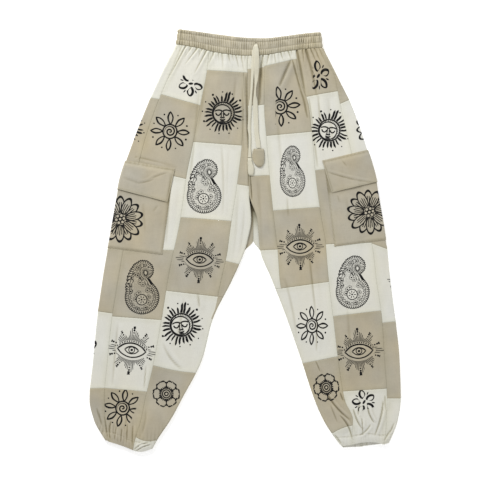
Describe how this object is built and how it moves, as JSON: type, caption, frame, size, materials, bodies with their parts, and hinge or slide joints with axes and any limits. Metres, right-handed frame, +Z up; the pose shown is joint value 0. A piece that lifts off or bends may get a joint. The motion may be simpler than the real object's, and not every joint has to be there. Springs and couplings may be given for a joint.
{
  "type": "joggers",
  "caption": "Patchwork cotton joggers with a gathered elastic waistband, drawstring, flap pockets and tapered gathered cuffs, laid flat on the back.",
  "frame": {"origin": "middle of the garment's outline, on the surface that it lies on", "axes": "+X towards the wearer's left, across the waist; +Y from the hems to the waistband; +Z up, out of the garment's front"},
  "size_m": [0.7637, 1.0351, 0.0159],
  "materials": {
    "cream_cotton": "washed cream cotton with black hand-block prints",
    "beige_cotton": "washed beige cotton with black hand-block prints",
    "waistband_cotton": "beige cotton gathered over elastic",
    "tie_cotton": "plain warm cream cotton, folded and sewn flat"
  },
  "bodies": {
    "root": {"right_outer_1": "cream_cotton", "right_outer_2": "beige_cotton", "right_outer_3": "cream_cotton", "right_outer_4": "beige_cotton", "right_outer_5": "cream_cotton", "right_outer_6": "beige_cotton", "right_inner_1": "cream_cotton", "right_inner_2": "beige_cotton", "right_inner_3": "cream_cotton", "right_inner_4": "beige_cotton", "right_inner_5": "cream_cotton", "right_inner_6": "beige_cotton", "right_inner_7": "cream_cotton", "right_gusset": "beige_cotton", "right_side_1": "cream_cotton", "right_side_2": "beige_cotton", "right_side_3": "cream_cotton", "right_side_4": "beige_cotton", "right_side_5": "cream_cotton", "right_side_6": "beige_cotton", "right_back_1": "beige_cotton", "right_back_2": "cream_cotton", "right_back_3": "beige_cotton", "right_back_4": "cream_cotton", "right_back_5": "beige_cotton", "right_pouch": "beige_cotton", "right_flap": "beige_cotton", "left_outer_1": "beige_cotton", "left_outer_2": "cream_cotton", "left_outer_3": "beige_cotton", "left_outer_4": "cream_cotton", "left_outer_5": "beige_cotton", "left_outer_6": "cream_cotton", "left_inner_1": "cream_cotton", "left_inner_2": "beige_cotton", "left_inner_3": "cream_cotton", "left_inner_4": "beige_cotton", "left_inner_5": "cream_cotton", "left_inner_6": "beige_cotton", "left_inner_7": "cream_cotton", "left_gusset": "cream_cotton", "left_side_1": "beige_cotton", "left_side_2": "cream_cotton", "left_side_3": "beige_cotton", "left_side_4": "cream_cotton", "left_side_5": "beige_cotton", "left_side_6": "cream_cotton", "left_back_1": "cream_cotton", "left_back_2": "beige_cotton", "left_back_3": "cream_cotton", "left_back_4": "beige_cotton", "left_back_5": "cream_cotton", "left_pouch": "beige_cotton", "left_flap": "beige_cotton", "waistband_front": "waistband_cotton", "waistband_back": "waistband_cotton", "tie_left": "tie_cotton", "tie_tip_left": "beige_cotton", "tie_right": "tie_cotton", "tie_tip_right": "tie_cotton"}
  },
  "joints": []
}
